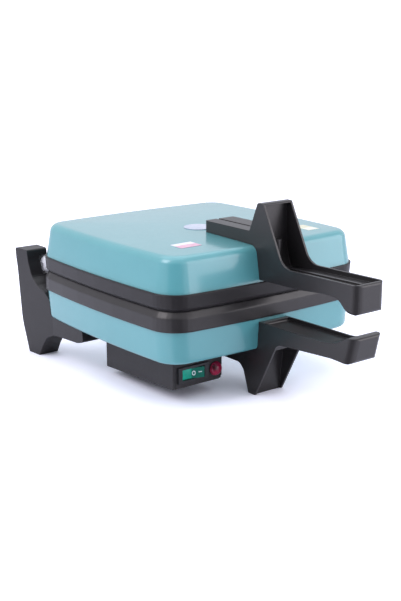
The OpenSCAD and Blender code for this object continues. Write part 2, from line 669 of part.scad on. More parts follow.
// Leads from the switch's tabs to the terminal block
module box_wires() color("firebrick") placed()
  for (w = [[-75.5, -73], [-66.5, -64], [-57.5, -55]])
    tube([
      [w[0], -53, switch_z], [w[0], -48, switch_z + 0.5], [w[0], -42, switch_z + 2],
      [w[1], -36, 25.5], [w[1], -30, 24.3], [w[1], -24.5, 24]
    ], 1.2, 8);
module mains_gland() color("#222224") placed() translate([gland_x, box_rear, gland_z]) difference() {
  union() {
    along_y(-4, 2, 6);
    along_y(0.1, 3.2, 8.4);
    along_y(-7, -1.4, 7.6);
    translate([0, 14, 0]) rotate([90, 0, 0]) cylinder(h = 11, r1 = 4.9, r2 = 6.2);
  }
  along_y(-9, 16, 3.6);
}

// ---------- jumper lead between the halves ----------

// Gland at the height z, where the cover's face stands at y. Its flange is cut to the cover, given as
// a child.
module lead_gland(y, z) difference() {
  union() {
    translate([lead_x, 0, z]) along_y(y - 4, y + 1, 4.9);
    difference() {
      translate([lead_x, 0, z]) along_y(y - 1.6, y + 2.6, 7);
      children();
    }
    translate([lead_x, 0, z]) along_y(y + 2.5, y + gland_l, 5.4);
  }
  translate([lead_x, 0, z]) along_y(y - 5, y + 7, lead_r + 0.1);
}
module lower_lead_gland() color("#222224") placed()
  lead_gland(lead_lower_y, lead_lower_z) lower_cover_block(-flange_gap, -flange_gap);
module upper_lead_gland() color("#222224") placed()
  lead_gland(lead_upper_y, lead_upper_z) upper_cover_block(-flange_gap, -flange_gap);

// The lead leaves both glands straight and joins them in one smooth curve
flange_gap = 0.1;
lead_seg = 16;
lead_ends = [[lead_lower_y + gland_l + 0.2, lead_lower_z], [lead_upper_y + gland_l + 0.2, lead_upper_z]];
function lead_at(t) =
  let (a = lead_ends[0], b = lead_ends[1], out = [lead_bulge, 0], u = 1 - t)
  u * u * u * a + 3 * u * u * t * (a + out) + 3 * u * t * t * (b + out) + t * t * t * b;
lead_line = concat(
  [lead_ends[0] - [gland_l, 0]],
  [for (i = [0:lead_seg]) lead_at(i / lead_seg)],
  [lead_ends[1] - [gland_l, 0]]
);
module jumper_lead() color("#2b2b2d") placed() tube([for (p = lead_line) [lead_x, p[0], p[1]]], lead_r);

// ---------- nodes ----------

lower_cover();
lower_plate();
lower_heater();
lower_heater_clamps();
lower_clamp_screws();
lower_heater_bushes();
lower_cover_screws();
lower_handle();
lower_handle_screws();
left_rear_bracket();
right_rear_bracket();
bracket_screws();
bracket_nuts();
hinge_pins();
hinge_spacers();
hinge_nuts();
control_box();
box_base_plate();
box_screws();
switch_housing();
switch_rocker();
indicator_lens();
indicator_body();
indicator_nut();
terminal_block();
box_wires();
mains_gland();
thermostat();
thermal_fuse();
lower_lead_gland();
jumper_lead();
upper_lead_gland();
upper_cover();
upper_plate();
upper_heater();
upper_heater_clamps();
upper_clamp_screws();
upper_heater_bushes();
upper_cover_screws();
upper_handle();
upper_handle_screws();
centre_disc();
front_sticker();
corner_sticker();
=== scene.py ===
"""Looks of the hinged ring-cake maker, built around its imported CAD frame. Metres, +Z up."""
import json
import math

import bmesh
import bpy
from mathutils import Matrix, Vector

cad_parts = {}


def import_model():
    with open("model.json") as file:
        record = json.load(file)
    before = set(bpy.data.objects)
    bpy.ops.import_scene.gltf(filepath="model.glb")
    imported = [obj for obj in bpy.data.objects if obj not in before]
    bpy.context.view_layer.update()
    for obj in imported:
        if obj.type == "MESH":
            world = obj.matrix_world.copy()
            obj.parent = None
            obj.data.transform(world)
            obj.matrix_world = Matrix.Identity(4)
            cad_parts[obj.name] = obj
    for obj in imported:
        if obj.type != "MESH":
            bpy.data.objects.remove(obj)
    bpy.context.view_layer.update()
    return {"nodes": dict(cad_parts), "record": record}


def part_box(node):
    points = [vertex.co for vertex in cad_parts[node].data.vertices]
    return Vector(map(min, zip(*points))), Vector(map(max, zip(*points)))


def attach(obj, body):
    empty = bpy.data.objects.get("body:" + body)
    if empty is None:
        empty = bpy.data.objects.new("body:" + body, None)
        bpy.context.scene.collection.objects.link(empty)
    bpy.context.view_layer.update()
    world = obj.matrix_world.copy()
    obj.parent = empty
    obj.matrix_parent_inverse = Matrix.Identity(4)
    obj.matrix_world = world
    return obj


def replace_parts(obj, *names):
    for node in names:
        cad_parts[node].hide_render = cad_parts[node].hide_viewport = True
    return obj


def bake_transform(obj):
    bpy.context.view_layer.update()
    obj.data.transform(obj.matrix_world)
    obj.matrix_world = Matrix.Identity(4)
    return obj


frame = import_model()

# Sizes of the body that the CAD boxes don't give
BODY_HALF_W = 0.115
BODY_HALF_D = 0.113
CORNER_R = 0.026
LEAST_CORNER_R = 0.005
BOW = math.radians(4.3)
COVER_INSET = 0.0018
COVER_T = 0.0015
CROWN = 0.0016
UPPER_DRAFT = math.radians(9.5)
LOWER_DRAFT = math.radians(3.5)
UPPER_EDGE_R = 0.008
LOWER_EDGE_R = 0.0045
LOWER_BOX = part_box("lower_cover")
UPPER_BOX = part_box("upper_cover")
MID_Y = 0.5 * (LOWER_BOX[0].y + LOWER_BOX[1].y)


# ---------- procedural materials ----------

# Cosines between a bevelled normal and the true one, on a flat and on an edge
EDGE_COSINES = (0.99, 0.80)


class Nodes:
    """Short calls for building one node material."""

    def __init__(self, name):
        self.mat = bpy.data.materials.new(name)
        self.mat.use_nodes = True
        self.tree = self.mat.node_tree
        self.shader = self.tree.nodes["Principled BSDF"]
        self.coord = self.add("ShaderNodeTexCoord").outputs["Object"]

    def add(self, kind, **props):
        node = self.tree.nodes.new(kind)
        for key, value in props.items():
            setattr(node, key, value)
        return node

    def link(self, a, b):
        self.tree.links.new(a, b)

    def noise(self, scale, detail=3.0, rough=0.55):
        """Noise in the object's own space, so that it moves with the piece."""
        node = self.add("ShaderNodeTexNoise")
        node.inputs["Scale"].default_value = scale
        node.inputs["Detail"].default_value = detail
        node.inputs["Roughness"].default_value = rough
        self.link(self.coord, node.inputs["Vector"])
        return node.outputs["Fac"]

    def ramp(self, fac, stops):
        """Grey of a factor, from (position, grey) stops."""
        node = self.add("ShaderNodeValToRGB")
        ramp = node.color_ramp
        ramp.elements[0].position, ramp.elements[0].color = stops[0][0], grey(stops[0][1])
        ramp.elements[1].position, ramp.elements[1].color = stops[-1][0], grey(stops[-1][1])
        for pos, colour in stops[1:-1]:
            ramp.elements.new(pos).color = grey(colour)
        self.link(fac, node.inputs["Fac"])
        return node.outputs["Color"]

    def mix(self, fac, a, b):
        """Colour a where fac is 0 and b where it is 1. Each of the three is a socket or a value."""
        node = self.add("ShaderNodeMix", data_type="RGBA")
        for socket, value in ((node.inputs[0], fac), (node.inputs[6], a), (node.inputs[7], b)):
            if hasattr(value, "is_linked"):
                self.link(value, socket)
            elif isinstance(value, (int, float)):
                socket.default_value = value
            else:
                socket.default_value = grey(value)
        return node.outputs[2]

    def spread(self, fac, low, high):
        """Maps a 0 to 1 factor to low to high."""
        node = self.add("ShaderNodeMapRange")
        node.inputs["To Min"].default_value = low
        node.inputs["To Max"].default_value = high
        self.link(fac, node.inputs["Value"])
        return node.outputs["Result"]

    def past(self, axis, place, edge):
        """0 before place along an object axis and 1 past it, with a soft edge between."""
        split = self.add("ShaderNodeSeparateXYZ")
        self.link(self.coord, split.inputs["Vector"])
        step = self.add("ShaderNodeMapRange")
        step.inputs["From Min"].default_value = place - edge
        step.inputs["From Max"].default_value = place + edge
        self.link(split.outputs[axis], step.inputs["Value"])
        return step.outputs["Result"]

    def edges(self, radius):
        """1 on edges and in corners tighter than radius, 0 on flats."""
        bevel = self.add("ShaderNodeBevel", samples=4)
        bevel.inputs["Radius"].default_value = radius
        geometry = self.add("ShaderNodeNewGeometry")
        dot = self.add("ShaderNodeVectorMath", operation="DOT_PRODUCT")
        self.link(bevel.outputs["Normal"], dot.inputs[0])
        self.link(geometry.outputs["Normal"], dot.inputs[1])
        node = self.add("ShaderNodeMapRange")
        node.inputs["From Min"].default_value = EDGE_COSINES[0]
        node.inputs["From Max"].default_value = EDGE_COSINES[1]
        self.link(dot.outputs["Value"], node.inputs["Value"])
        return node.outputs["Result"]

    def bump(self, height, strength, distance, soften=0.0):
        """Surface relief. Edges and facets within soften of each other are shaded as one curve."""
        node = self.add("ShaderNodeBump")
        if soften:
            bevel = self.add("ShaderNodeBevel", samples=6)
            bevel.inputs["Radius"].default_value = soften
            self.link(bevel.outputs["Normal"], node.inputs["Normal"])
        node.inputs["Strength"].default_value = strength
        node.inputs["Distance"].default_value = distance
        self.link(height, node.inputs["Height"])
        self.link(node.outputs["Normal"], self.shader.inputs["Normal"])

    def set(self, **values):
        """Numbers and colours on the shader's own sockets."""
        for key, value in values.items():
            self.shader.inputs[key.replace("_", " ")].default_value = value


def grey(c):
    """A colour with alpha, from a grey or from a colour."""
    if isinstance(c, (int, float)):
        return (c, c, c, 1.0)
    return tuple(c) + (1.0,) * (4 - len(c))


# The enamel: its darker and paler clouds, its dust and its paler edges, partly worn paint and partly painted
# highlight
TEAL = ((0.092, 0.338, 0.360), (0.104, 0.358, 0.382))
TEAL_DUST = (0.30, 0.56, 0.60)
TEAL_EDGE = (0.18, 0.48, 0.52)


def paint():
    """Satin enamel over sheet: soft orange peel, faint cloudiness and rare pale dust."""
    m = Nodes("teal_enamel")
    colour = m.mix(m.ramp(m.noise(14, 4), [(0.35, 0.0), (0.65, 1.0)]), *TEAL)
    dust = m.ramp(m.noise(2600, 1, 0.4), [(0.735, 0.0), (0.78, 0.35)])
    colour = m.mix(dust, colour, TEAL_DUST)
    # Paler edges: partly worn paint, partly a painted highlight on the rounded edges
    colour = m.mix(m.spread(m.edges(0.0012), 0.0, 0.35), colour, TEAL_EDGE)
    m.link(colour, m.shader.inputs["Base Color"])
    m.link(m.spread(m.noise(260, 3), 0.33, 0.42), m.shader.inputs["Roughness"])
    m.bump(m.noise(900, 2, 0.5), 0.05, 0.0004)
    m.set(Specular_IOR_Level=0.55, Coat_Weight=1.0, Coat_Roughness=0.13)
    return m.mat


# Tint of a moulding's reflections
WARM_GLOSS = (1.0, 0.955, 0.91, 1.0)
# How much paler than the light mottling a moulding's specks and its edges are; the edges are partly rubbed
# wear and partly painted highlight
SPECK_LIFT = 2.2
RUBBED_AND_HIGHLIGHT_LIFT = 2.6


def moulding(name, dark, light, rough=(0.42, 0.52), grain=1400, bump=0.12, shine=0.5, soften=0.0006):
    """Dark moulding compound or non-stick casting: fine grain, mottling and paler edges, partly rubbed and
    partly painted highlight.
    """
    m = Nodes(name)
    mottle = m.ramp(m.noise(38, 5, 0.6), [(0.3, 0.0), (0.7, 1.0)])
    colour = m.mix(mottle, dark, light)
    specks = m.ramp(m.noise(3200, 1, 0.4), [(0.70, 0.0), (0.76, 0.5)])
    colour = m.mix(specks, colour, [min(1.0, SPECK_LIFT * v) for v in light])
    # Paler edges: partly rubbed wear, partly a painted highlight
    colour = m.mix(m.spread(m.edges(0.0009), 0.0, 0.5), colour, [min(1.0, RUBBED_AND_HIGHLIGHT_LIFT * v) for v in light])
    m.link(colour, m.shader.inputs["Base Color"])
    m.link(m.spread(m.noise(420, 4), *rough), m.shader.inputs["Roughness"])
    m.bump(m.noise(grain, 4, 0.6), bump, 0.0003, soften)
    m.set(Specular_IOR_Level=shine, Specular_Tint=WARM_GLOSS)
    return m.mat


# What is left of a metal's colour in its darker clouds
STAIN_SHARE = 0.82


def metal(name, colour, rough, bump=0.04, metallic=1.0):
    """Plated, blackened or oxidised metal with darker clouds."""
    m = Nodes(name)
    tone = m.mix(m.ramp(m.noise(220, 4), [(0.3, 0.0), (0.7, 1.0)]), colour, [STAIN_SHARE * v for v in colour])
    m.link(tone, m.shader.inputs["Base Color"])
    m.link(m.spread(m.noise(600, 3), *rough), m.shader.inputs["Roughness"])
    m.bump(m.noise(1600, 2), bump, 0.0002)
    m.set(Metallic=metallic)
    return m.mat


# Softness of the painted shade's edge along X, and what is left of the deep tone in that painted shade and in
# the painted dark spot
DIM_EDGE = 0.0004
DIM_SHARE = 0.42
DARK_SHARE = 0.30
# The painted dark spot of shade is full inside the first share of its radius, and gone at the second
SPOT_SHARES = (0.45, 1.5)


def clear(name, colour, deep, dark_at=None, dark_r=0.002, glow=0.0, dim=None):
    """Tinted translucent plastic, deeper in soft patches, with painted shade as a dark spot around dark_at
    and past dim along X, and a painted glow in its own tone.
    """
    m = Nodes(name)
    tone = m.mix(m.ramp(m.noise(160, 3), [(0.35, 0.0), (0.65, 1.0)]), colour, deep)
    # Painted shade past dim along X
    if dim:
        tone = m.mix(m.past("X", dim, DIM_EDGE), tone, [DIM_SHARE * v for v in deep])
    # Painted shade: a dark spot around dark_at
    if dark_at:
        far = m.add("ShaderNodeVectorMath", operation="DISTANCE")
        m.link(m.coord, far.inputs[0])
        far.inputs[1].default_value = dark_at
        near = m.add("ShaderNodeMapRange", interpolation_type="SMOOTHSTEP")
        near.inputs["From Min"].default_value = SPOT_SHARES[0] * dark_r
        near.inputs["From Max"].default_value = SPOT_SHARES[1] * dark_r
        near.inputs["To Min"].default_value = 1.0
        near.inputs["To Max"].default_value = 0.0
        m.link(far.outputs["Value"], near.inputs["Value"])
        tone = m.mix(near.outputs["Result"], tone, [DARK_SHARE * v for v in deep])
    m.link(tone, m.shader.inputs["Base Color"])
    # Painted light: the plastic glows in its own tone
    m.link(tone, m.shader.inputs["Emission Color"])
    m.link(m.spread(m.noise(500, 2), 0.10, 0.18), m.shader.inputs["Roughness"])
    m.bump(m.noise(700, 2), 0.03, 0.0003)
    m.set(Emission_Strength=glow, IOR=1.49, Coat_Weight=0.3, Coat_Roughness=0.10)
    return m.mat


def plain_plastic(name, a, b, rough=(0.3, 0.45)):
    """Smooth plastic, rubber or ceramic that clouds from a to b."""
    m = Nodes(name)
    m.link(m.mix(m.ramp(m.noise(90, 4), [(0.3, 0.0), (0.7, 1.0)]), a, b), m.shader.inputs["Base Color"])
    m.link(m.spread(m.noise(420, 3), *rough), m.shader.inputs["Roughness"])
    m.bump(m.noise(1300, 3), 0.05, 0.0002)
    return m.mat


# Softness of the line between a label's two inks
INK_EDGE = 0.0006


def foil(name, low, high, axis, split_at):
    """Blank printed label: two soft areas of ink on foil, low and high along the axis."""
    m = Nodes(name)
    colour = m.mix(m.past(axis, split_at, INK_EDGE), low, high)
    colour = m.mix(m.ramp(m.noise(300, 4), [(0.4, 0.0), (0.7, 0.25)]), colour, (0.9, 0.9, 0.92))
    m.link(colour, m.shader.inputs["Base Color"])
    m.link(m.spread(m.noise(500, 3), 0.18, 0.30), m.shader.inputs["Roughness"])
    m.bump(m.noise(900, 2), 0.03, 0.0002)
    return m.mat


# Casting and moulding compound, each from its darker to its lighter mottling
CASTING = ((0.0165, 0.0155, 0.0168), (0.0205, 0.0193, 0.0207))
PHENOLIC = ((0.0160, 0.0150, 0.0163), (0.0200, 0.0188, 0.0202))
# Width over which a casting's facets are shaded as one curve, and the scale of its grain
CASTING_SOFT = 0.0026
CASTING_GRAIN = 1100
# Places of the colour changes
LENS_AT = (-0.0406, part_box("control_box")[0].y, 0.0235)
# Centre and radius of the lens's painted dark spot of shade
SHADE_SPOT_AT = (LENS_AT[0] - 0.0036, LENS_AT[1] - 0.0040, LENS_AT[2] + 0.0022)
SHADE_SPOT_R = 0.0026
ROCKER_FOLD_X = -0.0678
LABEL_SPLIT_Y = -0.0290
CORNER_LABEL_SPLIT_Y = -0.036
DISC_MIDDLE_X = -0.008

# By slot. The upper plate's casting, bracket_moulding and mark_white are finishes of their own; the upper
# plate's is the casting with less shine, a shaded copy that paints the upper band darker.
MATERIALS = {
    "teal_paint": paint(),
    "cast_black": moulding("nonstick_casting", *CASTING, (0.30, 0.38), CASTING_GRAIN, 0.10, 0.60,
                           CASTING_SOFT),
    # A shaded copy of the casting: less shine paints the upper band darker
    "shaded_upper_casting": moulding("shaded_upper_casting", *CASTING, (0.32, 0.40), CASTING_GRAIN, 0.10, 0.36,
                              CASTING_SOFT),
    "phenolic_black": moulding("phenolic_moulding", *PHENOLIC, (0.30, 0.38), shine=0.68),
    "bracket_moulding": moulding("bracket_moulding", *PHENOLIC, (0.32, 0.40), shine=0.42),
    "heater_steel": metal("oxidised_sheath", (0.16, 0.15, 0.14), (0.4, 0.6)),
    "zinc_steel": metal("zinc_plate", (0.62, 0.62, 0.60), (0.25, 0.4)),
    "black_screws": metal("black_zinc", (0.05, 0.05, 0.055), (0.35, 0.5)),
    "ceramic": plain_plastic("ceramic_white", (0.78, 0.74, 0.66), (0.70, 0.66, 0.58), (0.2, 0.35)),
    "chrome": metal("bright_zinc", (0.93, 0.93, 0.96), (0.30, 0.40), bump=0.02, metallic=0.15),
    "black_sheet": moulding("powder_coated_sheet", (0.023, 0.0215, 0.024), (0.028, 0.0265, 0.029),
                            (0.45, 0.55), 1800, 0.14),
    "black_plastic": plain_plastic("nylon_black", (0.022, 0.022, 0.024), (0.030, 0.030, 0.032)),
    # The rocker: a painted glow, and painted shade on its right face past its fold
    "green_clear": clear("rocker_green", (0.004, 0.36, 0.24), (0.002, 0.29, 0.20), glow=0.16,
                         dim=ROCKER_FOLD_X),
    # The lens: a painted glow, and a painted dark spot of shade on its dome
    "red_clear": clear("neon_red", (0.30, 0.010, 0.048), (0.22, 0.005, 0.030),
                       SHADE_SPOT_AT, SHADE_SPOT_R, 0.10),
    "mark_white": plain_plastic("mark_white", (0.72, 0.86, 0.84), (0.80, 0.90, 0.88), (0.25, 0.35)),
    "wire_red": plain_plastic("silicone_wire", (0.20, 0.010, 0.008), (0.16, 0.008, 0.006), (0.4, 0.5)),
    "rubber_black": plain_plastic("rubber_black", (0.018, 0.018, 0.019), (0.026, 0.026, 0.027), (0.5, 0.65)),
    "disc_white": foil("disc_foil", (0.47, 0.52, 0.64), (0.52, 0.55, 0.66), "X", DISC_MIDDLE_X),
    "sticker_red": foil("label_red", (0.74, 0.38, 0.50), (0.82, 0.82, 0.88), "Y", LABEL_SPLIT_Y),
    "sticker_yellow": foil("label_yellow", (0.80, 0.80, 0.66), (0.70, 0.68, 0.46), "Y", CORNER_LABEL_SPLIT_Y),
}
SLOT_OF = {p["node"]: p["material_slot"] for p in frame["record"]["subparts"]}


def dress(obj, slot):
    """Puts the slot's or the finish's material on the object."""
    obj.data.materials.clear()
    obj.data.materials.append(MATERIALS[slot])


# ---------- mesh helpers ----------

def make_object(name, verts, faces, body, slot, smooth=True, sharp_deg=35):
    """A mesh object that rides on a body and wears a slot's material."""
    mesh = bpy.data.meshes.new(name)
    mesh.from_pydata([tuple(v) for v in verts], [], faces)
    mesh.validate()
    bm = bmesh.new()
    bm.from_mesh(mesh)
    bmesh.ops.recalc_face_normals(bm, faces=bm.faces)
    bm.to_mesh(mesh)
    bm.free()
    obj = bpy.data.objects.new(name, mesh)
    bpy.context.scene.collection.objects.link(obj)
    if smooth:
        shade(obj, sharp_deg)
    dress(obj, slot)
    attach(obj, body)
    return obj


def shade(obj, sharp_deg):
    """Smooth shading, with sharp edges past an angle."""
    obj.data.shade_smooth()
    obj.data.set_sharp_from_angle(angle=math.radians(sharp_deg))


def centre_at(a, b):
    """Distance of a corner arc's centre from the middle, along the axis of half-width a."""
    t = math.tan(BOW) / 2
    k = CORNER_R * (math.cos(BOW) + t * math.sin(BOW))
    return ((a - k) - t * (b - k)) / (1 - t * t)


def outline(inset, corner_seg=24, side_seg=32):
    """Plan outline of the body stepped in by inset: corner arcs between shallow parabolas."""
    r = max(CORNER_R - inset, LEAST_CORNER_R)
    shift = max(inset - CORNER_R + LEAST_CORNER_R, 0.0)
    cx = centre_at(BODY_HALF_W, BODY_HALF_D) - shift
    cy = centre_at(BODY_HALF_D, BODY_HALF_W) - shift
    t = math.tan(BOW) / 2
    ex, ey = cx + r * math.sin(BOW), cy + r * math.sin(BOW)

    def side(c, e, u):
        return c + r * math.cos(BOW) + t * e * (1 - u * u)

    def corner(sx, sy, start):
        turn = math.pi / 2 - 2 * BOW
        return [(sx * cx + r * math.cos(start + BOW + turn * i / corner_seg),
                 sy * cy + r * math.sin(start + BOW + turn * i / corner_seg)) for i in range(corner_seg + 1)]

    us = [-1 + 2 * i / side_seg for i in range(1, side_seg)]
    q = math.pi / 2
    points = [(side(cx, ey, u), u * ey) for u in us] + corner(1, 1, 0)
    points += [(-u * ex, side(cy, ex, u)) for u in us] + corner(-1, 1, q)
    points += [(-side(cx, ey, u), -u * ey) for u in us] + corner(-1, -1, 2 * q)
    points += [(u * ex, -side(cy, ex, u)) for u in us] + corner(1, -1, 3 * q)
    return points


SIDE_STEPS = 6
CROWN_SHARES = (0.97, 0.92, 0.85, 0.75, 0.62, 0.48, 0.34, 0.2, 0.08)


def cover_levels(height, edge_r, draft, rise, inset, seg=12):
    """Levels (inset, height, scale) of a cover's surface, from its rim to the middle of its flat side."""
    r = edge_r - inset
    zc = height - edge_r
    z_side = zc + r * math.sin(draft)
    start = COVER_INSET + inset
    top_in = start + math.tan(draft) * z_side + r * math.cos(draft)
    levels = [(start + math.tan(draft) * z_side * k / SIDE_STEPS, z_side * k / SIDE_STEPS, 1.0)
              for k in range(SIDE_STEPS)]
    for k in range(seg + 1):
        a = draft + (math.pi / 2 - draft) * k / seg
        levels.append((top_in - r * math.cos(a), zc + r * math.sin(a), 1.0))
    for s in CROWN_SHARES:
        levels.append((top_in, zc + r + rise * (1 - s * s), s))
    return levels


def ring(level, z0, up):
    """The body's outline at one level of a cover that rises (up 1) or hangs (up -1) from its rim at z0."""
    return [(x * level[2], MID_Y + y * level[2], z0 + up * level[1]) for x, y in outline(level[0])]


def cover(name, body, z0, up, height, edge_r, draft, rise):
    """Pressed cover: an outer and an inner surface joined at the rim."""
    outer = [ring(v, z0, up) for v in cover_levels(height, edge_r, draft, rise, 0.0)]
    inner = [ring(v, z0, up) for v in cover_levels(height, edge_r, draft, rise, COVER_T)]
    rings = inner[::-1] + outer
    n = len(rings[0])
    verts = [v for r in rings for v in r]
    faces = []
    for k in range(len(rings) - 1):
        for i in range(n):
            j = (i + 1) % n
            faces.append((k * n + i, k * n + j, (k + 1) * n + j, (k + 1) * n + i))
    faces.append(tuple(range(n)))
    faces.append(tuple((len(rings) - 1) * n + i for i in range(n)))
    return make_object(name, verts, faces, body, "teal_paint")


def lathe(name, profile, centre, axis, body, slot, sides=48, sharp=40):
    """Solid turned about axis through centre, from (radius, distance along the axis) points."""
    z = Vector(axis).normalized()
    x = z.orthogonal().normalized()
    y = z.cross(x)
    verts, rings = [], []
    for rad, along in profile:
        first = len(verts)
        if rad < 1e-7:
            verts.append(centre + along * z)
            rings.append([first])
        else:
            for i in range(sides):
                a = 2 * math.pi * i / sides
                verts.append(centre + along * z + rad * (math.cos(a) * x + math.sin(a) * y))
            rings.append(list(range(first, first + sides)))
    faces = []
    for lo, hi in zip(rings, rings[1:]):
        for i in range(sides):
            j = (i + 1) % sides
            if len(lo) == 1:
                faces.append((lo[0], hi[i], hi[j]))
            elif len(hi) == 1:
                faces.append((lo[i], lo[j], hi[0]))
            else:
                faces.append((lo[i], lo[j], hi[j], hi[i]))
    return make_object(name, verts, faces, body, slot, sharp_deg=sharp)


def bevel_edges(node, width, segments=3, angle=30):
    """Rounds a CAD node's edges with modifiers."""
    obj = frame["nodes"][node]
    weld = obj.modifiers.new("weld", "WELD")
    weld.merge_threshold = 0.00001
    flat = obj.modifiers.new("flat", "DECIMATE")
    flat.decimate_type = "DISSOLVE"
    flat.angle_limit = math.radians(0.6)
    bevel = obj.modifiers.new("bevel", "BEVEL")
    bevel.width = width
    bevel.segments = segments
    bevel.limit_method = "ANGLE"
    bevel.angle_limit = math.radians(angle)
    bevel.harden_normals = False
    bevel.miter_outer = "MITER_ARC"
    normals = obj.modifiers.new("normals", "WEIGHTED_NORMAL")
    normals.keep_sharp = True


# ---------- pieces ----------

def add_covers():
    """The two teal pressings in place of the CAD's covers."""
    top = cover("upper_cover_pressing", "lid", UPPER_BOX[0].z, 1, UPPER_BOX[1].z - UPPER_BOX[0].z - CROWN,
                UPPER_EDGE_R, UPPER_DRAFT, CROWN)
    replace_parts(top, "upper_cover")
    bottom = cover("lower_cover_pressing", "base", LOWER_BOX[1].z, -1, LOWER_BOX[1].z - LOWER_BOX[0].z,
                   LOWER_EDGE_R, LOWER_DRAFT, 0.0)
    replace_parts(bottom, "lower_cover")


# Width of the rounded edges, on the CAD nodes that have them
BEVELS = {
    "lower_handle": 0.0011, "upper_handle": 0.0011, "left_rear_bracket": 0.0012,
    "right_rear_bracket": 0.0012, "control_box": 0.0006, "switch_housing": 0.0005,
    "switch_rocker": 0.0003, "lower_plate": 0.0009, "upper_plate": 0.0009,
    "mains_gland": 0.0004, "lower_lead_gland": 0.0004, "upper_lead_gland": 0.0004,
}

# CAD nodes that wear another finish than their slot's; the upper plate's is a shaded copy of its casting,
# painted shade on its band
FINISH = {"upper_plate": "shaded_upper_casting", "left_rear_bracket": "bracket_moulding",
          "right_rear_bracket": "bracket_moulding"}


def finish_cad_nodes():
    """A material on every CAD node, and rounded edges where BEVELS gives them."""
    for node, obj in frame["nodes"].items():
        dress(obj, FINISH.get(node, SLOT_OF[node]))
    for node, width in BEVELS.items():
        bevel_edges(node, width)


# The rocker: its pivot, its tilt at rest, and its right face's inner end, depth and slope
ROCKER_AT = Vector((-0.066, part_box("control_box")[0].y + 0.0032, 0.0245))
ROCKER_TILT = math.radians(-11.0)
ROCKER_VEE = -0.0022
ROCKER_DEPTH = 0.0043
ROCKER_SLOPE = 0.1
# Its marks stand a little proud of that face and start a little inside it
MARK_LIFTS = (-0.0002, 0.00012)
CIRCLE_AT = 0.0012
CIRCLE_RADII = (0.0010, 0.0017)
CIRCLE_STRETCH = 1.3
CIRCLE_STEPS = 24
BAR_ENDS = (0.0056, 0.0088)
BAR_EDGES = (0.0002, 0.0010)


def on_rocker(along, up, lift):
    """A point on the rocker's right face: along it from the pivot's line, up it, and lift out of it."""
    out = ROCKER_DEPTH + ROCKER_SLOPE * (along - ROCKER_VEE) + lift
    x = along * math.cos(ROCKER_TILT) + out * math.sin(ROCKER_TILT)
    y = along * math.sin(ROCKER_TILT) - out * math.cos(ROCKER_TILT)
    return ROCKER_AT + Vector((x, y, up))


def add_marks():
    """The raised circle and bar on the rocker's right face."""
    circle = []
    for k in range(CIRCLE_STEPS):
        a = 2 * math.pi * k / CIRCLE_STEPS
        for radius in CIRCLE_RADII:
            along = CIRCLE_AT + radius * math.cos(a)
            up = CIRCLE_STRETCH * radius * math.sin(a)
            circle += [on_rocker(along, up, lift) for lift in MARK_LIFTS]
    faces = []
    for k in range(CIRCLE_STEPS):
        a, b = 4 * k, 4 * ((k + 1) % CIRCLE_STEPS)
        faces += [(a + 1, b + 1, b + 3, a + 3), (a, a + 2, b + 2, b)]
        faces += [(a, b, b + 1, a + 1), (a + 2, a + 3, b + 3, b + 2)]
    make_object("rocker_circle", circle, faces, "rocker", "mark_white", smooth=False)
    bar = [on_rocker(along, up, lift) for along in BAR_ENDS for up in BAR_EDGES for lift in MARK_LIFTS]
    faces = [(0, 1, 3, 2), (4, 6, 7, 5), (0, 4, 5, 1), (2, 3, 7, 6), (0, 2, 6, 4), (1, 5, 7, 3)]
    make_object("rocker_bar", bar, faces, "rocker", "mark_white", smooth=False)


# The lens: its neck inside the panel, its rim, and its dome's share of the rim's radius
LENS_NECK_R = 0.0036
LENS_RIM_T = 0.0018
LENS_DOME_SHARE = 0.93
LENS_STEPS = 14


def add_lens():
    """Domed neon lens with a rim. Its material has a painted dark spot of shade and a painted glow."""
    low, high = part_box("indicator_lens")
    centre = Vector(((low.x + high.x) / 2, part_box("control_box")[0].y, (low.z + high.z) / 2))
    r = (high.x - low.x) / 2
    rise = centre.y - low.y - LENS_RIM_T
    profile = [(0.0, -0.001), (LENS_NECK_R, -0.001), (LENS_NECK_R, 0.0001), (r - 0.0003, 0.0001), (r, 0.0005),
               (r, 0.0013), (r - 0.0003, 0.0017)]
    for i in range(LENS_STEPS):
        a = math.radians(90 * i / LENS_STEPS)
        profile.append((LENS_DOME_SHARE * r * math.cos(a), LENS_RIM_T + rise * math.sin(a)))
    profile.append((0.0, LENS_RIM_T + rise))
    lens = lathe("neon_lens", profile, centre, (0, -1, 0), "base", "red_clear")
    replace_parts(lens, "indicator_lens")


# Hinge pins: shank, eased edges, and head with its straight rim
PIN_R = 0.004
PIN_SHANK_L = 0.0365
PIN_EDGE = 0.0004
PIN_HEAD_H = 0.0046
PIN_HEAD_RIM = 0.0008
# The recess in the head: (radius, depth) down its side
PIN_RECESS = [(0.0026, 0.0001), (0.0022, 0.0005), (0.0021, 0.0030), (0.0, 0.0032)]


def add_pins():
    """Bright hinge pins: a plain shank and a domed head with a round recess."""
    low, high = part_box("hinge_pins")
    r = (high.z - low.z) / 2
    y, z = (low.y + high.y) / 2, (low.z + high.z) / 2
    for side, name in ((-1, "left_pin"), (1, "right_pin")):
        outer = high.x if side > 0 else low.x
        centre = Vector((outer - side * PIN_HEAD_H, y, z))
        profile = [(0.0, -PIN_SHANK_L), (PIN_R - PIN_EDGE, -PIN_SHANK_L), (PIN_R, PIN_EDGE - PIN_SHANK_L)]
        profile += [(PIN_R, 0.0), (r - PIN_EDGE, 0.0), (r, PIN_EDGE)]
        for i in range(1, 12):
            a = math.radians(6 * i)
            profile.append((r * math.cos(a), PIN_HEAD_RIM + (PIN_HEAD_H - PIN_HEAD_RIM) * math.sin(a)))
        profile += [(radius, PIN_HEAD_H - depth) for radius, depth in PIN_RECESS]
        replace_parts(lathe(name, profile, centre, (side, 0, 0), "base", "chrome", sharp=50), "hinge_pins")


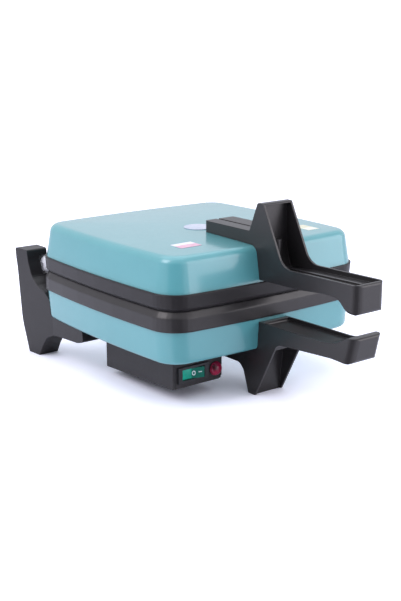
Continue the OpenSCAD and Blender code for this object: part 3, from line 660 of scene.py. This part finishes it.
def tube_mesh(path, radius, sides=20):
    """Vertices and faces of a closed tube along the path."""
    verts, faces = [], []
    n = len(path)
    side = Vector((1, 0, 0))
    for i, p in enumerate(path):
        d = (path[min(i + 1, n - 1)] - path[max(i - 1, 0)]).normalized()
        s = (side - side.dot(d) * d).normalized()
        u = d.cross(s)
        for k in range(sides):
            a = 2 * math.pi * k / sides
            verts.append(p + radius * (math.cos(a) * s + math.sin(a) * u))
    for i in range(n - 1):
        for k in range(sides):
            j = (k + 1) % sides
            faces.append((i * sides + k, i * sides + j, (i + 1) * sides + j, (i + 1) * sides + k))
    faces.append(tuple(range(sides)))
    faces.append(tuple((n - 1) * sides + k for k in range(sides)))
    return verts, faces


# The lead's curve leaves the glands' ends towards guide points behind them, as in the CAD
LEAD_BULGE = Vector((0.0, 0.028, 0.0))
LEAD_IN = Vector((0.0, 0.0056, 0.0))
LEAD_GAP = 0.0002
LEAD_STEPS = 40


def add_lead():
    """Short lead that feeds the lid's heater: straight out of both glands, with one smooth curve between."""
    low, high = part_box("jumper_lead")
    x, r = (low.x + high.x) / 2, (high.x - low.x) / 2
    start = Vector((x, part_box("lower_lead_gland")[1].y + LEAD_GAP, low.z + r))
    end = Vector((x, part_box("upper_lead_gland")[1].y + LEAD_GAP, high.z - r))
    path = [start - LEAD_IN]
    for k in range(LEAD_STEPS + 1):
        t = k / LEAD_STEPS
        u = 1 - t
        path.append(u ** 3 * start + 3 * u * u * t * (start + LEAD_BULGE)
                    + 3 * u * t * t * (end + LEAD_BULGE) + t ** 3 * end)
    path.append(end - LEAD_IN)
    verts, faces = tube_mesh(path, r)
    mesh = bpy.data.meshes.new("feed_lead")
    mesh.from_pydata([tuple(v) for v in verts], [], faces)
    obj = bpy.data.objects.new("feed_lead", mesh)
    bpy.context.scene.collection.objects.link(obj)
    shade(obj, 40)
    dress(obj, "rubber_black")
    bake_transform(obj)
    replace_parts(obj, "jumper_lead")


add_covers()
finish_cad_nodes()
add_lens()
add_pins()
add_marks()
add_lead()


# ---------- stage, light and camera ----------

def area_light(name, place, target, size, power, colour):
    """Soft box at place, turned to target."""
    data = bpy.data.lights.new(name, "AREA")
    data.shape = "RECTANGLE"
    data.size, data.size_y = size
    data.energy = power
    data.color = colour
    obj = bpy.data.objects.new(name, data)
    obj.location = place
    obj.rotation_euler = (Vector(target) - Vector(place)).to_track_quat("-Z", "Y").to_euler()
    obj.visible_camera = False
    bpy.context.scene.collection.objects.link(obj)


TO_CAMERA = Vector((-0.614, -0.789, 0.0))
# The floor's wedge of painted dark reflection: its tip, the cosines where it starts and is full, and the
# rest's share
WEDGE_TIP = (-0.02, -0.05, 0.0)
WEDGE_EDGE = (0.84, 0.955)
FLOOR_DIM = 0.22


def wedge(m):
    """How dark the object's glossy faces see the floor, a painted dark reflection: 1 in a wedge towards the
    camera, low elsewhere.
    """
    away = m.add("ShaderNodeVectorMath", operation="SUBTRACT")
    m.link(m.coord, away.inputs[0])
    away.inputs[1].default_value = WEDGE_TIP
    heading = m.add("ShaderNodeVectorMath", operation="NORMALIZE")
    m.link(away.outputs["Vector"], heading.inputs[0])
    dot = m.add("ShaderNodeVectorMath", operation="DOT_PRODUCT")
    m.link(heading.outputs["Vector"], dot.inputs[0])
    dot.inputs[1].default_value = TO_CAMERA
    mask = m.add("ShaderNodeMapRange", interpolation_type="SMOOTHSTEP")
    mask.inputs["From Min"].default_value = WEDGE_EDGE[0]
    mask.inputs["From Max"].default_value = WEDGE_EDGE[1]
    mask.inputs["To Min"].default_value = FLOOR_DIM
    m.link(dot.outputs["Value"], mask.inputs["Value"])
    return mask.outputs["Result"]


FLOOR_HALF = 12.0
# Colour of the floor in the painted dark reflection that glossy rays see
FLOOR_DARK = (0.03, 0.03, 0.035)
FLOOR_GLOW = (0.86, 0.87, 1.0, 1)
# Glow close under the object and in the open, and its share for bounced light and for the camera; its fall
# close under the object is a painted contact shadow
FLOOR_GLOW_SPAN = (-0.05, 0.55)
FLOOR_SEEN_SPAN = (0.35, 1.0)
FLOOR_SHADOW_REACH = 0.045


def floor():
    """White sweep: it glows a little, so shadows on it stay pale and cool. Its glow fades near the object as
    a painted contact shadow, and glossy rays see it darker as a painted dark reflection.
    """
    mesh = bpy.data.meshes.new("floor")
    corners = [(-FLOOR_HALF, -FLOOR_HALF, 0), (FLOOR_HALF, -FLOOR_HALF, 0),
               (FLOOR_HALF, FLOOR_HALF, 0), (-FLOOR_HALF, FLOOR_HALF, 0)]
    mesh.from_pydata(corners, [], [(0, 1, 2, 3)])
    obj = bpy.data.objects.new("floor", mesh)
    bpy.context.scene.collection.objects.link(obj)
    m = Nodes("floor_white")
    white = m.mix(m.ramp(m.noise(3, 2), [(0.4, 0.0), (0.6, 1.0)]), (0.84, 0.84, 0.92), (0.86, 0.86, 0.94))
    # Painted dark reflection: glossy rays see the floor dark in the wedge
    path = m.add("ShaderNodeLightPath")
    shaded = m.add("ShaderNodeMath", operation="MULTIPLY")
    m.link(wedge(m), shaded.inputs[0])
    m.link(path.outputs["Is Glossy Ray"], shaded.inputs[1])
    m.link(m.mix(shaded.outputs["Value"], white, FLOOR_DARK), m.shader.inputs["Base Color"])
    m.set(Roughness=0.9, Specular_IOR_Level=0.1)
    m.shader.inputs["Emission Color"].default_value = FLOOR_GLOW
    # Painted contact shadow: the glow fades where the object is close
    open_sky = m.add("ShaderNodeAmbientOcclusion", samples=16)
    open_sky.inputs["Distance"].default_value = FLOOR_SHADOW_REACH
    glow = m.add("ShaderNodeMath", operation="MULTIPLY")
    m.link(m.spread(open_sky.outputs["AO"], *FLOOR_GLOW_SPAN), glow.inputs[0])
    m.link(m.spread(path.outputs["Is Camera Ray"], *FLOOR_SEEN_SPAN), glow.inputs[1])
    m.link(glow.outputs["Value"], m.shader.inputs["Emission Strength"])
    mesh.materials.append(m.mat)


# The tent: strength of its wall and of its opening, and the cosines where one turns into the other
TENT_EDGE = (0.72, 0.92)
TENT_WALL = 0.88
TENT_OPENING = 0.03
TENT_COLOUR = (0.90, 0.91, 1.0, 1)
BACKDROP = 1.2


def world():
    """Light tent: white all round, open and darker behind the photographer, plain white backdrop."""
    w = bpy.data.worlds.new("studio")
    bpy.context.scene.world = w
    w.use_nodes = True
    tree = w.node_tree
    tree.nodes.clear()
    coord = tree.nodes.new("ShaderNodeTexCoord")
    dot = tree.nodes.new("ShaderNodeVectorMath")
    dot.operation = "DOT_PRODUCT"
    dot.inputs[1].default_value = TO_CAMERA
    tree.links.new(coord.outputs["Generated"], dot.inputs[0])
    fade = tree.nodes.new("ShaderNodeMapRange")
    fade.interpolation_type = "SMOOTHSTEP"
    fade.inputs["From Min"].default_value = TENT_EDGE[0]
    fade.inputs["From Max"].default_value = TENT_EDGE[1]
    fade.inputs["To Min"].default_value = TENT_WALL
    fade.inputs["To Max"].default_value = TENT_OPENING
    tree.links.new(dot.outputs["Value"], fade.inputs["Value"])
    tent = tree.nodes.new("ShaderNodeBackground")
    tent.inputs["Color"].default_value = TENT_COLOUR
    tree.links.new(fade.outputs["Result"], tent.inputs["Strength"])
    backdrop = tree.nodes.new("ShaderNodeBackground")
    backdrop.inputs["Strength"].default_value = BACKDROP
    backdrop.inputs["Color"].default_value = (1, 1, 1, 1)
    path = tree.nodes.new("ShaderNodeLightPath")
    mix = tree.nodes.new("ShaderNodeMixShader")
    tree.links.new(path.outputs["Is Camera Ray"], mix.inputs["Fac"])
    tree.links.new(tent.outputs["Background"], mix.inputs[1])
    tree.links.new(backdrop.outputs["Background"], mix.inputs[2])
    out = tree.nodes.new("ShaderNodeOutputWorld")
    tree.links.new(mix.outputs["Shader"], out.inputs["Surface"])


COOL = (0.93, 0.92, 1.0)
SKY = (0.80, 0.90, 1.0)
MIDDLE = (0, 0, 0.08)
floor()
world()
area_light("right_box", (1.05, -1.15, 0.55), (0.1, -0.1, 0.10), (1.6, 1.1), 11.5, COOL)
area_light("left_box", (-1.15, 0.15, 1.15), (-0.1, 0.1, 0.08), (0.9, 0.9), 11.0, COOL)
area_light("top_box", (0.1, 0.3, 1.5), MIDDLE, (1.6, 1.6), 9.0, SKY)

# The photo's camera, solved on its straight and curved edges
CAMERA_AT = (-0.6007, -0.7403, 0.3238)
CAMERA_HEADING = Vector((0.5937, 0.7626, -0.2571))
CAMERA_LENS_MM = 63.4
camera = bpy.data.objects.new("camera", bpy.data.cameras.new("camera"))
camera.data.lens = CAMERA_LENS_MM
camera.data.sensor_width = 36
camera.data.sensor_fit = "AUTO"
camera.data.clip_end = 50
camera.location = CAMERA_AT
camera.rotation_euler = CAMERA_HEADING.to_track_quat("-Z", "Y").to_euler()
bpy.context.scene.collection.objects.link(camera)
bpy.context.scene.camera = camera
bpy.context.scene.view_settings.view_transform = "Standard"
